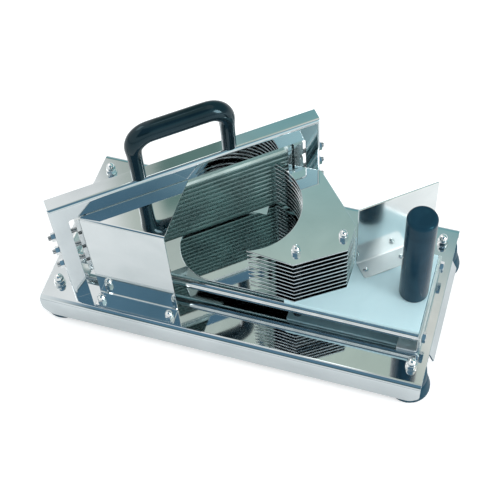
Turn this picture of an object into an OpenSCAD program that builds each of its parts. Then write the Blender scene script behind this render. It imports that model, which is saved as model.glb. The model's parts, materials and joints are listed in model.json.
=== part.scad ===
// Bench tomato slicer with a hand-pushed carriage.
// A stack of thin pusher plates slides along two round rods and pushes the fruit through a
// fixed pack of level blades. The blades are strung in an upright frame that stands slantwise
// across the base, so each blade enters the fruit at one side and cuts with a slicing motion.
// X runs along the slide, Y to the back and Z up. The slicer stands on Z = 0.
// The carriage is drawn back to its right stop, which is where it rests.

/* [Base] */
// Width of the base plate
base_wid = 198; // [196:1:215]
// Thickness of the base sheet
base_t = 2; // [1.5:0.1:2.5]
// Height of the folded front and rear edges
fold_h = 28; // [20:0.5:30]
// Outer radius of the front and rear folds
fold_r = 7; // [3:0.5:7]
// Clip at the lower corners of the folded edges
fold_clip = 9; // [4:0.5:12]
// Height of the lips at the two ends
lip_h = 14; // [8:0.5:16]
// Outward slope of the end lips
lip_slope = 23; // [0:1:30]
// Distance from a foot's axis to the end lip beside it
lip_gap = 18.4; // [17:0.2:24]

/* [Feet] */
// Diameter of a rubber foot at its rim
foot_d = 42; // [36:1:44]
// How far the feet reach below the folds
foot_drop = 10.5; // [4:0.5:12]
// Distance from a foot's axis to the end of the base
foot_inset = 14.2; // [12:0.2:18]
// Gap between a foot's rim and the fold in front of it
foot_gap = 0.6; // [0.4:0.2:3]
// Diameter of the foot bolts
foot_bolt_d = 6; // [5:0.5:8]

/* [Slide rods] */
// Diameter of the two rods
rod_d = 11; // [10:0.5:12]
// Height of the rods' axes above the base plate
rod_lift = 20; // [18:0.5:23]
// Distance from the front edge of the base to the front rod's axis
rod_front = 47; // [45:0.5:50]
// Distance between the rods' axes
rod_gap = 84.5; // [80:0.5:90]
// Thickness of the rod brackets
bracket_t = 3; // [2:0.1:3]
// Distance a bracket reaches above the rods
bracket_over = 2.5; // [1:0.5:3.5]
// Width of a bracket's foot
bracket_foot = 23; // [14:1:26]
// Distance from the right end of the base to the right bracket
bracket_right = 10; // [8:0.5:14]
// Distance from the left end of the base to the left bracket
bracket_left = 17; // [15:0.5:24]
// Distance a bracket reaches past the rods' axes
bracket_edge = 8.5; // [7:0.5:10]

/* [Blade frame] */
// Height of the blade frame
frame_h = 148.6; // [144:0.2:165]
// Depth of the blade frame
frame_depth = 16; // [15:0.5:18]
// Thickness of the frame's sheet
frame_t = 2; // [1.5:0.1:2.5]
// Slant of the blade frame across the base
frame_angle = 38.65; // [38:0.05:39.5]
// Distance from the left end of the base to the frame's front corner
frame_left = 37.7; // [35:0.1:42]
// Distance from the front edge of the base to the frame's front corner
frame_front = 9.9; // [8:0.1:11]
// Distance from the rear edge of the base to the frame's rear corner
frame_rear = 16.3; // [14:0.1:24]
// Width of the bands beside the window
side_band = 16; // [14:0.5:17]
// Height of the band over the window
top_band = 21.4; // [16:0.2:24]
// Outer radius of the frame's folds
frame_r = 4; // [3:0.5:6]

/* [Blades] */
// Distance from one blade to the next, the thickness of a slice
pitch = 6.5; // [5.5:0.1:6.8]
// Number of blades
blade_count = 13; // [8:1:13]
// Thickness of a blade
blade_t = 0.7; // [0.5:0.1:1]
// Width of a blade
blade_w = 10; // [8:0.5:10.5]
// Width of the ground edge of a blade
blade_edge = 3; // [1:0.5:4]
// Thickness of a blade bar along the blades
bar_t = 16; // [13:0.5:17]
// Gap between the left blade bar and the band beside it
left_gap = 6; // [3:0.5:8]
// Gap between the right blade bar and the band beside it
right_gap = 1.6; // [1:0.1:4]
// Distance a blade bar reaches below the lowest blade
bar_drop = 2.5; // [2:0.5:5]
// Distance a blade bar reaches above the highest blade
bar_rise = 6; // [3:0.5:9]
// Depth of the saw cuts in a blade bar
slot_depth = 10; // [8:0.5:10.5]
// Diameter of the blade pins
pin_d = 2.6; // [2:0.1:3]
// Distance from a blade bar's inner face to its pin
pin_in = 5.2; // [4:0.2:6]
// Diameter of the tension bolts
tension_d = 5; // [4:0.5:5.5]
// Distance between the tension bolts
tension_step = 22.8; // [18:0.2:26]
// Depth of the notches that the tension bolts enter a bar by
notch = 3.6; // [2:0.2:4]

/* [Carry handle] */
// Distance between the middles of the handle's posts
handle_span = 91.4; // [80:0.2:120]
// Height of the handle over the frame
handle_h = 65; // [55:0.2:80]
// Width of a post
post_w = 14; // [12:0.5:15]
// Depth of a post
post_depth = 15; // [13:0.5:16]
// Thickness of the grip
grip_t = 19.5; // [16:0.5:21]
// Distance from the left end of the frame to the middle of the handle
handle_at = 137.5; // [125:0.5:150]
// Radius of the handle's corners
handle_r = 18; // [16:0.5:24]
// Depth of the threads in the handle's posts
handle_thread = 18; // [12:0.5:22]

/* [Front guard] */
// Thickness of the two guards' sheet
guard_t = 1.5; // [1:0.1:2]
// Width of the front guard
guard_w = 84.5; // [70:0.5:90]
// Distance from the left end of the base to the front guard
guard_left = 60; // [59:0.5:66]
// Distance from the front edge of the base to the front guard's panel
guard_front = 23.5; // [22:0.5:27]
// Depth of the front guard's foot
guard_foot = 16; // [14:0.5:16]
// Distance from the front guard's panel to its bolts
guard_bolt_out = 9.8; // [9:0.1:10.5]
// Diameter of the front guard's bolts
guard_bolt_d = 5; // [4:0.5:6]
// Height of the front guard's top above the lower edge of the frame's band
guard_rise = -0.5; // [-1:0.5:8]

/* [Carriage] */
// Height of the board's top above the rods' axes
board_rise = 11; // [10:0.1:12]
// Thickness of the board
board_t = 19; // [16:0.5:21]
// Thickness of the board's lips over the rods
board_lip = 5; // [3.5:0.5:5]
// Distance the front lip reaches past the front rod's axis
lip_front = 2; // [0:0.5:4]
// Distance the rear lip reaches past the rear rod's axis
lip_rear = 6; // [4:0.5:12]
// Distance from a rod's axis to the side of the board's body
board_setback = 3.6; // [3:0.1:4.5]
// Distance the board reaches to the left of the pusher's front bolt
board_margin = 9.4; // [8:0.2:20]
// Thickness of the tray and the pusher plates
plate_t = 1.5; // [1:0.1:1.8]
// Width of the tray
tray_w = 93; // [84:1:96]
// Distance from the board's front edge back to the tray's
tray_setback = 2.5; // [1:0.5:6]
// Distance the tray reaches to the left of the nest's middle
tray_reach = 68.3; // [60:0.1:74]

/* [Pusher] */
// Number of pusher plates over the tray
plate_count = 10; // [7:1:10]
// Radius of the fruit nest
nest_r = 56; // [50:0.5:57]
// Distance from the frame to the nest's middle, along the slide
nest_out = 42.4; // [40:0.2:46]
// Distance from the middle of the slide back to the nest's middle
nest_shift = 14; // [10:0.5:18]
// Clearance between the plates' rear edge and the right blade bar
side_gap = 2.6; // [2:0.2:8]
// Distance the plates' front corner reaches past the front rod's axis
pusher_front = 1.5; // [1:0.5:4]
// Distance from the nest's middle to the plates' front tip, along the slide
tip_out = 18.2; // [14:0.2:22]
// Length of the plates' front edge
front_run = 47; // [40:0.5:52]
// Run of the plates' front right edge along the slide
slant_run = 45.2; // [40:0.2:48]
// Rise of the plates' front right edge across the slide
slant_rise = 30; // [26:0.2:34]
// Length of the plates' right end
end_rise = 30; // [20:0.5:32]
// Slope of the plates' right end along the slide
end_lean = 0.6; // [0:0.1:3]
// Distance from the nest's middle to the horn's blunt end, along the slide
horn_start = 6.2; // [4:0.2:12]
// Length of the horn's rear edge
horn_run = 55.6; // [48:0.2:58]
// Diameter of the pusher's bolts
pusher_bolt_d = 5; // [4:0.5:6]
// Diameter of the spacers between the plates
spacer_d = 11; // [9:0.5:12]

/* [Hand guard and knob] */
// Length of the hand guard
hand_len = 84; // [70:0.5:90]
// Height of the hand guard above the board
hand_h = 90; // [70:0.5:92]
// Depth of the hand guard's foot
hand_foot = 21; // [17:0.1:22]
// Length of the hand guard's foot
hand_foot_len = 56; // [50:1:60]
// Clearance between the plates' right end and the hand guard, along the slide
hand_gap = 2; // [1.6:0.1:4]
// Distance from the hand guard's left edge to the knob's axis, along the slide
knob_out = 61.7; // [58:0.1:80]
// Diameter of the knob
knob_d = 29; // [25:0.5:29.5]
// Height of the knob
knob_h = 124.5; // [100:0.5:130]
// Depth of the thread in the knob
knob_thread = 30; // [20:0.5:40]
// Distance from the right end of the board to the knob's axis
knob_inset = 15; // [15:0.2:18]

/* [Fits] */
// Clearance around a fixed bolt or pin
bolt_gap = 0.1; // [0.05:0.05:0.15]
// Running clearance between a rod and its groove
groove_play = 0.35; // [0.3:0.05:0.5]
// Gap between pieces that stand close without touching
near_gap = 0.5; // [0.3:0.05:0.8]

/* [Hidden] */

$fn = 48;
// Overlap of a cutting shape past the face it cuts
cut = 1;
steel = [0.76, 0.79, 0.80];
dark_steel = [0.55, 0.58, 0.60];
white_board = [0.86, 0.93, 0.94];
black_plastic = [0.07, 0.08, 0.10];
black_rubber = [0.06, 0.07, 0.08];

// Bolts and nuts, as multiples of their thread
HEAD_ACROSS = 1.65;
HEAD_HIGH = 0.65;
NUT_HIGH = 0.8;
WASHER_ACROSS = 2;
DOME_ACROSS = 1.55;
DOME_HIGH = 2;
washer_t = 1.6;
small_bolt_d = 6;
knob_bolt_d = 8;
hand_screw_d = 3;
// Room left between the end of a screw and the floor of its bore
thread_room = 1;

// Heights
base_top = foot_drop + fold_h;
rod_z = base_top + rod_lift;
bracket_h = rod_lift + rod_d / 2 + bracket_over;
board_top = rod_z + board_rise;
board_low = board_top - board_t;
tray_top = board_top + plate_t;
stack_top = tray_top + plate_count * pitch;
frame_top = base_top + frame_h;
guard_top = frame_top - top_band + guard_rise + guard_t;
function blade_z(i) = tray_top + (pitch - plate_t) / 2 + pitch * i;
bar_low = blade_z(0) - bar_drop;
bar_high = blade_z(blade_count - 1) + bar_rise;
function tension_z(i) = (bar_low + bar_high) / 2 + i * tension_step;

// The frame reaches slantwise over the width of the base, and the base is as long as the frame,
// the pusher, the hand guard and the knob in a row
frame_len = (base_wid - frame_front - frame_rear) / sin(frame_angle);
nest_rise = rod_front + rod_gap / 2 + nest_shift - frame_front;
base_len = frame_left + nest_rise / tan(frame_angle) + nest_out + tip_out + front_run + slant_run + end_lean
           + hand_gap + knob_out + knob_inset + near_gap + bracket_t + bracket_right;

// Places on the base
foot_x = base_len / 2 - foot_inset;
foot_y = base_wid / 2 - base_t - foot_gap - foot_d / 2;
lip_len = 2 * (foot_y - lip_gap);
rod_front_y = rod_front - base_wid / 2;
rod_rear_y = rod_front_y + rod_gap;
rod_mid_y = (rod_front_y + rod_rear_y) / 2;
right_x = base_len / 2 - bracket_right;
left_x = bracket_left - base_len / 2;
frame_x = frame_left - base_len / 2;
frame_y = frame_front - base_wid / 2;
guard_x = guard_left - base_len / 2;
guard_y = guard_front - base_wid / 2;
guard_bolt_inset = 5.5;
// Where the frame's front face stands, at a given distance across the base
function face_x(y) = frame_x + (y - frame_y) / tan(frame_angle);

// Places in the frame's own directions: along its length and back from its face
left_out = side_band + left_gap;
right_out = side_band + right_gap;
bar_depth = blade_w + 1;
bar_front = frame_depth - bar_depth - 1;
bar_mid = bar_front + bar_depth / 2;
pin_back = bar_front + 0.4 * bar_depth;
function slot_at(out) = out + bar_t - slot_depth;
function pin_at(out) = out + bar_t - pin_in;
pin_floor = 1.5;
tab_at = [(frame_t + side_band) / 2, (frame_t + frame_depth) / 2];
handle_posts = [handle_at - handle_span / 2, handle_at + handle_span / 2];

// Corners of the pusher plates
bar_corner = [frame_len - right_out - bar_t, bar_front];
rear_y = frame_y + bar_corner.x * sin(frame_angle) + bar_corner.y * cos(frame_angle) - side_gap;
nest = [face_x(frame_y + nest_rise) + nest_out, frame_y + nest_rise];
corner = [nest.x + tip_out + front_run, rod_front_y - pusher_front];
tip = corner + [-front_run, 4.4];
slant_end = corner + [slant_run, slant_rise];
right_end = slant_end + [end_lean, end_rise];
horn_tip = [nest.x + horn_start, rear_y];
horn_back = horn_tip + [horn_run, 0];
pusher_bolt_at = [corner + [-1.4, 15.4], slant_end + [-7.8, 13.6]];

// The board and what stands on it
hand_at = right_end + [hand_gap, 0];
knob_at = [hand_at.x + knob_out, rod_mid_y];
board_right = knob_at.x + knob_inset;
board_left = pusher_bolt_at[0].x - board_margin;
board_front = rod_front_y - lip_front;
board_rear = rod_rear_y + lip_rear;
hand_screw_along = [5, 44];
hand_screw_out = 10.6;
hand_screw_deep = 6;
// Room above a bolt head sunk into the board's underside
head_cover = 1;

// Upright band with its two upper corners rounded, its foot on the X axis
module rounded_band(w, h, r) {
    translate([-w / 2 + r, 0]) square([w - 2 * r, h]);
    translate([-w / 2, 0]) square([w, h - r]);
    for (side = [-1, 1]) translate([side * (w / 2 - r), h - r]) circle(r);
}

// Quarter of a ring that joins two sheets at a fold: it runs from straight down to straight right
module fold(inner, t) {
    intersection() {
        difference() {
            circle(inner + t);
            circle(inner);
        }
        translate([0, -inner - t]) square(inner + t);
    }
}

// Bolt with a six-sided head below Z = 0 and its shank above
module hex_bolt(d, len) {
    translate([0, 0, -HEAD_HIGH * d]) cylinder(d = HEAD_ACROSS * d / cos(30), h = HEAD_HIGH * d, $fn = 6);
    cylinder(d = d, h = len);
}

// Domed nut on Z = 0, threaded from below a little further than its bolt reaches
module dome_nut(d) {
    hex_h = NUT_HIGH * d;
    ball_z = (DOME_HIGH - DOME_ACROSS / 2) * d;
    difference() {
        union() {
            cylinder(d = HEAD_ACROSS * d / cos(30), h = hex_h, $fn = 6);
            cylinder(d = DOME_ACROSS * d, h = ball_z);
            translate([0, 0, ball_z]) sphere(d = DOME_ACROSS * d);
        }
        translate([0, 0, -cut]) cylinder(d = d + 2 * bolt_gap, h = cut + 1.1 * d);
    }
}

// Plain six-sided nut on Z = 0
module hex_nut(d) {
    difference() {
        cylinder(d = HEAD_ACROSS * d / cos(30), h = NUT_HIGH * d, $fn = 6);
        bolt_hole(d, NUT_HIGH * d);
    }
}

module washer(d) {
    difference() {
        cylinder(d = WASHER_ACROSS * d, h = washer_t);
        bolt_hole(d, washer_t);
    }
}

// Hole through a sheet that lies on Z = 0
module bolt_hole(d, t) {
    translate([0, 0, -cut]) cylinder(d = d + 2 * bolt_gap, h = t + 2 * cut);
}

module at_feet() {
    for (sx = [-1, 1], sy = [-1, 1]) translate([sx * foot_x, sy * foot_y, 0]) children();
}

// Puts its children in the frame's own directions, with Z = 0 on the bench
module along_frame() {
    translate([frame_x, frame_y, 0]) rotate(frame_angle) children();
}

// Repeats its children at both ends of the frame, the second time the other way round
module at_both_ends() {
    children();
    translate([frame_len, 0, 0]) mirror([1, 0, 0]) children();
}

// Repeats its children at both ends of the blade pack, each with its bar's distance from the frame's end
module at_both_bars() {
    let ($out = left_out) children();
    translate([frame_len, 0, 0]) mirror([1, 0, 0]) let ($out = right_out) children();
}

module at_frame_tabs() {
    along_frame() at_both_ends() translate([tab_at.x, tab_at.y, base_top]) children();
}

module at_tension_bolts() {
    along_frame() at_both_bars() for (i = [-1, 0, 1]) translate([0, bar_mid, tension_z(i)]) children();
}

module at_guard_bolts() {
    for (x = [guard_x + guard_bolt_inset, guard_x + guard_w - guard_bolt_inset])
        translate([x, guard_y - guard_bolt_out, base_top]) children();
}

module at_pusher_bolts(z) {
    for (p = pusher_bolt_at) translate([p.x, p.y, z]) children();
}

// Puts its children in the hand guard's directions, with Z = 0 on the board
module along_hand_guard() {
    translate([hand_at.x, hand_at.y, board_top]) rotate(frame_angle) children();
}

module at_hand_screws() {
    along_hand_guard() for (s = hand_screw_along) translate([s, -hand_screw_out, 0]) children();
}

module base_tray() {
    color(steel) difference() {
        union() {
            translate([-base_len / 2, 0, foot_drop]) rotate([90, 0, 90]) linear_extrude(base_len)
                difference() {
                    rounded_band(base_wid, fold_h, fold_r);
                    translate([0, -cut])
                        rounded_band(base_wid - 2 * base_t, fold_h - base_t + cut, fold_r - base_t);
                }
            for (side = [0, 1]) mirror([side, 0, 0])
                translate([base_len / 2, 0, base_top]) rotate([0, -lip_slope, 0])
                    translate([-base_t, -lip_len / 2, -lip_h]) cube([base_t, lip_len, lip_h]);
        }
        for (side = [-1, 1]) translate([side * base_len / 2, 0, foot_drop]) rotate([90, 45, 0])
            cube([sqrt(2) * fold_clip, sqrt(2) * fold_clip, 2 * base_wid], center = true);
        at_feet() translate([0, 0, base_top - base_t]) bolt_hole(foot_bolt_d, base_t);
        at_frame_tabs() translate([0, 0, -base_t]) bolt_hole(small_bolt_d, base_t);
        at_guard_bolts() translate([0, 0, -base_t]) bolt_hole(guard_bolt_d, base_t);
    }
}

// Each foot flares to a round rim and is hollow underneath, like a suction cup
foot_h = base_top - base_t;
foot_head_z = foot_drop + 4;
foot_neck_d = 0.715 * foot_d;
foot_rim_h = 4;
foot_cup_d = foot_d - 10;
module rubber_feet() {
    color(black_rubber) at_feet() rotate_extrude() difference() {
        union() {
            polygon([[0, foot_rim_h / 2], [foot_d / 2, foot_rim_h / 2],
                     [foot_d / 2, foot_rim_h], [foot_neck_d / 2, foot_h], [0, foot_h]]);
            translate([foot_d / 2 - foot_rim_h / 2, foot_rim_h / 2]) circle(d = foot_rim_h);
            square([foot_d / 2 - foot_rim_h / 2, foot_rim_h]);
        }
        translate([0, -cut]) square([foot_bolt_d / 2 + bolt_gap, foot_h + 2 * cut]);
        polygon([[0, -cut], [foot_cup_d / 2 + cut, -cut], [foot_cup_d / 2, 0],
                 [foot_bolt_d, foot_head_z], [0, foot_head_z]]);
    }
}

module foot_bolts() {
    color(dark_steel) at_feet() translate([0, 0, foot_head_z])
        hex_bolt(foot_bolt_d, base_top - foot_head_z + washer_t + foot_bolt_d);
}

module foot_washers() {
    color(steel) at_feet() translate([0, 0, base_top]) washer(foot_bolt_d);
}

module foot_nuts() {
    color(steel) at_feet() translate([0, 0, base_top + washer_t]) dome_nut(foot_bolt_d);
}

// Angle bracket with its outer face on X = 0 and its foot towards -X
module rod_bracket() {
    wide = rod_gap + 2 * bracket_edge;
    difference() {
        translate([0, rod_rear_y + bracket_edge, base_top]) rotate([90, 0, 0]) linear_extrude(wide) {
            translate([-bracket_t, 2 * bracket_t]) square([bracket_t, bracket_h - 2 * bracket_t]);
            translate([-bracket_foot, 0]) square([bracket_foot - 2 * bracket_t, bracket_t]);
            translate([-2 * bracket_t, 2 * bracket_t]) fold(bracket_t, bracket_t);
        }
        for (y = [rod_front_y, rod_rear_y]) translate([-bracket_t, y, rod_z]) rotate([0, 90, 0])
            bolt_hole(small_bolt_d, bracket_t);
    }
}

module right_rod_bracket() {
    color(steel) translate([right_x, 0, 0]) rod_bracket();
}

module left_rod_bracket() {
    color(steel) translate([left_x, 0, 0]) mirror([1, 0, 0]) rod_bracket();
}

// Round rod between the brackets, threaded at both ends
rod_thread = 14;
module slide_rod(y) {
    start = left_x + bracket_t;
    long = right_x - bracket_t - start;
    translate([start, y, rod_z]) rotate([0, 90, 0]) difference() {
        cylinder(d = rod_d, h = long);
        translate([0, 0, -cut]) cylinder(d = small_bolt_d + 2 * bolt_gap, h = rod_thread + cut);
        translate([0, 0, long - rod_thread])
            cylinder(d = small_bolt_d + 2 * bolt_gap, h = rod_thread + cut);
    }
}

module front_rod() {
    color(steel) slide_rod(rod_front_y);
}

module rear_rod() {
    color(steel) slide_rod(rod_rear_y);
}

module rod_end_bolts() {
    reach = bracket_t + rod_thread - 1;
    color(dark_steel) for (y = [rod_front_y, rod_rear_y]) {
        translate([right_x, y, rod_z]) rotate([0, -90, 0]) hex_bolt(small_bolt_d, reach);
        translate([left_x, y, rod_z]) rotate([0, 90, 0]) hex_bolt(small_bolt_d, reach);
    }
}

// Block that fills the frame's folded pan, shrunk by a wall on its closed sides and open elsewhere
module frame_block(wall) {
    r = max(frame_r - wall, 0.5);
    past = wall > 0 ? cut : 0;
    back = frame_depth + past;
    high = frame_h - wall + past;
    intersection() {
        translate([frame_len / 2, back, -past]) mirror([0, 1, 0]) linear_extrude(high)
            rounded_band(frame_len - 2 * wall, back - wall, r);
        translate([0, 0, -past]) rotate([90, 0, 90]) linear_extrude(frame_len) {
            translate([wall, 0]) square([back - wall, high - r]);
            translate([wall + r, 0]) square([back - wall - r, high]);
            translate([wall + r, high - r]) circle(r);
        }
    }
}

module blade_frame() {
    window_r = 3;
    color(steel) along_frame() translate([0, 0, base_top]) difference() {
        union() {
            difference() {
                frame_block(0);
                frame_block(frame_t);
            }
            at_both_ends() translate([frame_t / 2, frame_t / 2, 0])
                cube([side_band - frame_t / 2, frame_depth - frame_t / 2, frame_t]);
        }
        translate([frame_len / 2, frame_t, -cut]) rotate([90, 0, 0]) linear_extrude(frame_t + cut)
            rounded_band(frame_len - 2 * side_band, frame_h - top_band + cut, window_r);
        at_both_ends() {
            translate([tab_at.x, tab_at.y, 0]) bolt_hole(small_bolt_d, frame_t);
            for (i = [-1, 0, 1]) translate([0, bar_mid, tension_z(i) - base_top]) rotate([0, 90, 0])
                bolt_hole(tension_d, frame_t);
        }
        for (s = handle_posts) translate([s, frame_depth / 2, frame_h - frame_t])
            bolt_hole(small_bolt_d, frame_t);
    }
}

module frame_bolts() {
    color(dark_steel) at_frame_tabs() translate([0, 0, frame_t]) rotate([180, 0, 0])
        hex_bolt(small_bolt_d, frame_t + base_t + small_bolt_d);
}

module frame_nuts() {
    color(dark_steel) at_frame_tabs() translate([0, 0, -base_t]) rotate([180, 0, 0]) hex_nut(small_bolt_d);
}

// Bar at one end of the blade pack: sawn for the blades, grooved in front for their pin, and
// notched and threaded on its outer side for the tension bolts
module blade_bar(out) {
    high = bar_high - bar_low;
    pin_room = pin_d + 2 * bolt_gap;
    bolt_room = tension_d + 2 * bolt_gap;
    difference() {
        translate([out, bar_front, bar_low]) cube([bar_t, bar_depth, high]);
        for (i = [0 : blade_count - 1])
            translate([slot_at(out), bar_front - cut, blade_z(i) - blade_t / 2 - bolt_gap])
                cube([slot_depth + cut, bar_depth + 2 * cut, blade_t + 2 * bolt_gap]);
        translate([pin_at(out), pin_back, bar_low + pin_floor]) cylinder(d = pin_room, h = high);
        translate([pin_at(out) - pin_room / 2, bar_front - cut, bar_low + pin_floor])
            cube([pin_room, pin_back - bar_front + cut, high]);
        for (i = [-1, 0, 1]) translate([out - cut, bar_mid, tension_z(i)]) {
            rotate([0, 90, 0]) cylinder(d = bolt_room, h = cut + bar_t - slot_depth - 0.5);
            translate([0, -bar_depth, -bolt_room / 2]) cube([cut + notch, bar_depth, bolt_room]);
        }
    }
}

module left_blade_bar() {
    color(steel) along_frame() blade_bar(left_out);
}

module right_blade_bar() {
    color(steel) along_frame() translate([frame_len, 0, 0]) mirror([1, 0, 0]) blade_bar(right_out);
}

// Thin level blades, ground to an edge towards the fruit, each with a pin hole near both ends
module blades() {
    start = slot_at(left_out) + bolt_gap;
    end = frame_len - slot_at(right_out) - bolt_gap;
    back = bar_front + bar_depth - 0.5;
    color(steel) along_frame() for (i = [0 : blade_count - 1]) difference() {
        translate([start, back, blade_z(i)]) rotate([90, 0, 90]) linear_extrude(end - start)
            polygon([[-blade_w, 0], [blade_edge - blade_w, -blade_t / 2], [0, -blade_t / 2],
                     [0, blade_t / 2], [blade_edge - blade_w, blade_t / 2]]);
        at_both_bars() translate([pin_at($out), pin_back, blade_z(i) - blade_t / 2])
            bolt_hole(pin_d, blade_t);
    }
}

// The pins stand on the floor of their grooves and reach a little above the bars
module blade_pins() {
    color(dark_steel) along_frame() at_both_bars() translate([pin_at($out), pin_back, bar_low + pin_floor])
        cylinder(d = pin_d, h = bar_high - bar_low);
}

// Threaded from the blade bar out through the frame's end and its lock nut
tension_end = NUT_HIGH * tension_d + 3;
module tension_bolts() {
    color(dark_steel) at_tension_bolts() translate([-tension_end, 0, 0]) rotate([0, 90, 0])
        cylinder(d = tension_d, h = tension_end + $out + bar_t - slot_depth - 1);
}

module tension_nuts() {
    color(steel) at_tension_bolts() rotate([0, -90, 0]) hex_nut(tension_d);
}

// Carry handle: an oval section swept along two posts, two round corners and a thicker grip
handle_sides = 24;
corner_steps = 7;
grip_z = handle_h - grip_t / 2;
function corner_point(side, i) =
    let (a = 90 * i / corner_steps)
    [side * (handle_span / 2 - handle_r + handle_r * sin(a)), grip_z - handle_r + handle_r * cos(a)];
function handle_path() =
    concat([[-handle_span / 2, 0], [-handle_span / 2, 0.45 * grip_z]],
           [for (i = [corner_steps : -1 : 0]) corner_point(-1, i)],
           [for (i = [0 : corner_steps]) corner_point(1, i)],
           [[handle_span / 2, 0.45 * grip_z], [handle_span / 2, 0]]);
// How far a point of the path has come from a post, 0, to the grip, 1
function grip_share(p) =
    let (t = max((p.y / grip_z - 0.45) / 0.55, 0)) t * t * (3 - 2 * t);
function path_turn(path, i) =
    let (a = path[max(i - 1, 0)], b = path[min(i + 1, len(path) - 1)]) atan2(b.y - a.y, b.x - a.x);
function handle_ring(p, turn) =
    let (across = post_w / 2 + grip_share(p) * (grip_t - post_w) / 2,
         deep = post_depth / 2 + grip_share(p) * (grip_t - post_depth) / 2)
    [for (k = [0 : handle_sides - 1]) let (a = 360 * k / handle_sides)
        [p.x - across * cos(a) * sin(turn), deep * sin(a), p.y + across * cos(a) * cos(turn)]];
module carry_handle() {
    path = handle_path();
    rings = len(path);
    n = handle_sides;
    points = [for (i = [0 : rings - 1]) each handle_ring(path[i], path_turn(path, i))];
    skin = [for (i = [0 : rings - 2], k = [0 : n - 1])
        [i * n + k, i * n + (k + 1) % n, (i + 1) * n + (k + 1) % n, (i + 1) * n + k]];
    ends = [[for (k = [n - 1 : -1 : 0]) k], [for (k = [0 : n - 1]) (rings - 1) * n + k]];
    color(black_plastic) along_frame() translate([handle_at, frame_depth / 2, frame_top]) difference() {
        polyhedron(points, concat(skin, ends));
        for (side = [-1, 1]) translate([side * handle_span / 2, 0, -cut])
            cylinder(d = small_bolt_d + 2 * bolt_gap, h = handle_thread + cut);
    }
}

module handle_screws() {
    color(dark_steel) along_frame() for (s = handle_posts)
        translate([s, frame_depth / 2, frame_top - frame_t])
            hex_bolt(small_bolt_d, frame_t + handle_thread - thread_room);
}

// Bent sheet in front of the blades: a foot, an upright panel and a top cut to the frame's slant
module front_guard() {
    high = guard_top - base_top;
    r = guard_t;
    color(steel) difference() {
        translate([guard_x, guard_y, base_top]) rotate([90, 0, 90]) linear_extrude(guard_w) {
            translate([-guard_foot, 0]) square([guard_foot - r, guard_t]);
            translate([-r, r + guard_t]) fold(r, guard_t);
            translate([0, r + guard_t]) square([guard_t, high - 2 * (r + guard_t)]);
            translate([r + guard_t, high - r - guard_t]) rotate(180) fold(r, guard_t);
            translate([r + guard_t, high - guard_t]) square([base_wid, guard_t]);
        }
        along_frame() translate([-base_len, -near_gap, 0]) cube([3 * base_len, 2 * base_len, 2 * frame_top]);
        at_guard_bolts() bolt_hole(guard_bolt_d, guard_t);
    }
}

module guard_bolts() {
    color(dark_steel) at_guard_bolts() translate([0, 0, -base_t])
        hex_bolt(guard_bolt_d, base_t + guard_t + guard_bolt_d);
}

module guard_nuts() {
    color(steel) at_guard_bolts() translate([0, 0, guard_t]) dome_nut(guard_bolt_d);
}

// White board: its body runs between the rods and is grooved along both sides to hold it down,
// and its upper lips reach over them
module slide_board() {
    long = board_right - board_left;
    color(white_board) difference() {
        translate([board_left, 0, 0]) rotate([90, 0, 90]) linear_extrude(long) difference() {
            union() {
                translate([board_front, board_top - board_lip]) square([board_rear - board_front, board_lip]);
                translate([rod_front_y + board_setback, board_low])
                    square([rod_gap - 2 * board_setback, board_t]);
            }
            for (y = [rod_front_y, rod_rear_y]) translate([y, rod_z]) circle(rod_d / 2 + groove_play);
        }
        at_pusher_bolts(board_low) sunk_hole(pusher_bolt_d);
        translate([knob_at.x, knob_at.y, board_low]) sunk_hole(knob_bolt_d);
        at_hand_screws() translate([0, 0, -hand_screw_deep])
            cylinder(d = hand_screw_d + 2 * bolt_gap, h = hand_screw_deep + cut);
    }
}

// Hole up through the board with room for the bolt's head from below
module sunk_hole(d) {
    bolt_hole(d, board_t);
    translate([0, 0, -cut]) cylinder(d = 2 * d, h = cut + HEAD_HIGH * d + head_cover);
}
function sunk_head_z(d) = board_low + HEAD_HIGH * d + head_cover;

module drilled_plate(z) {
    difference() {
        translate([0, 0, z]) linear_extrude(plate_t) children();
        at_pusher_bolts(z) bolt_hole(pusher_bolt_d, plate_t);
    }
}

// The fruit lies on a tray with a round end that carries the slices out under the blades
module fruit_tray() {
    r = tray_w / 2;
    mid = [nest.x - tray_reach + r, board_front + tray_setback + r];
    color(steel) drilled_plate(board_top) {
        polygon([tip, corner, slant_end, right_end, horn_back, horn_tip]);
        translate(mid) circle(r, $fn = 96);
        translate([mid.x, mid.y - r]) square([corner.x - mid.x, tray_w]);
    }
}

module pusher_plates() {
    color(steel) for (i = [1 : plate_count]) drilled_plate(tray_top + i * pitch - plate_t) difference() {
        polygon([tip, corner, slant_end, right_end, horn_back, horn_tip]);
        translate(nest) circle(nest_r, $fn = 96);
    }
}

module pusher_spacers() {
    high = pitch - plate_t;
    color(dark_steel) for (i = [0 : plate_count - 1]) at_pusher_bolts(tray_top + i * pitch) difference() {
        cylinder(d = spacer_d, h = high);
        bolt_hole(pusher_bolt_d, high);
    }
}

module pusher_bolts() {
    head_z = sunk_head_z(pusher_bolt_d);
    color(dark_steel) at_pusher_bolts(head_z)
        hex_bolt(pusher_bolt_d, stack_top - head_z + pusher_bolt_d);
}

module pusher_nuts() {
    color(steel) at_pusher_bolts(stack_top) dome_nut(pusher_bolt_d);
}

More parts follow.
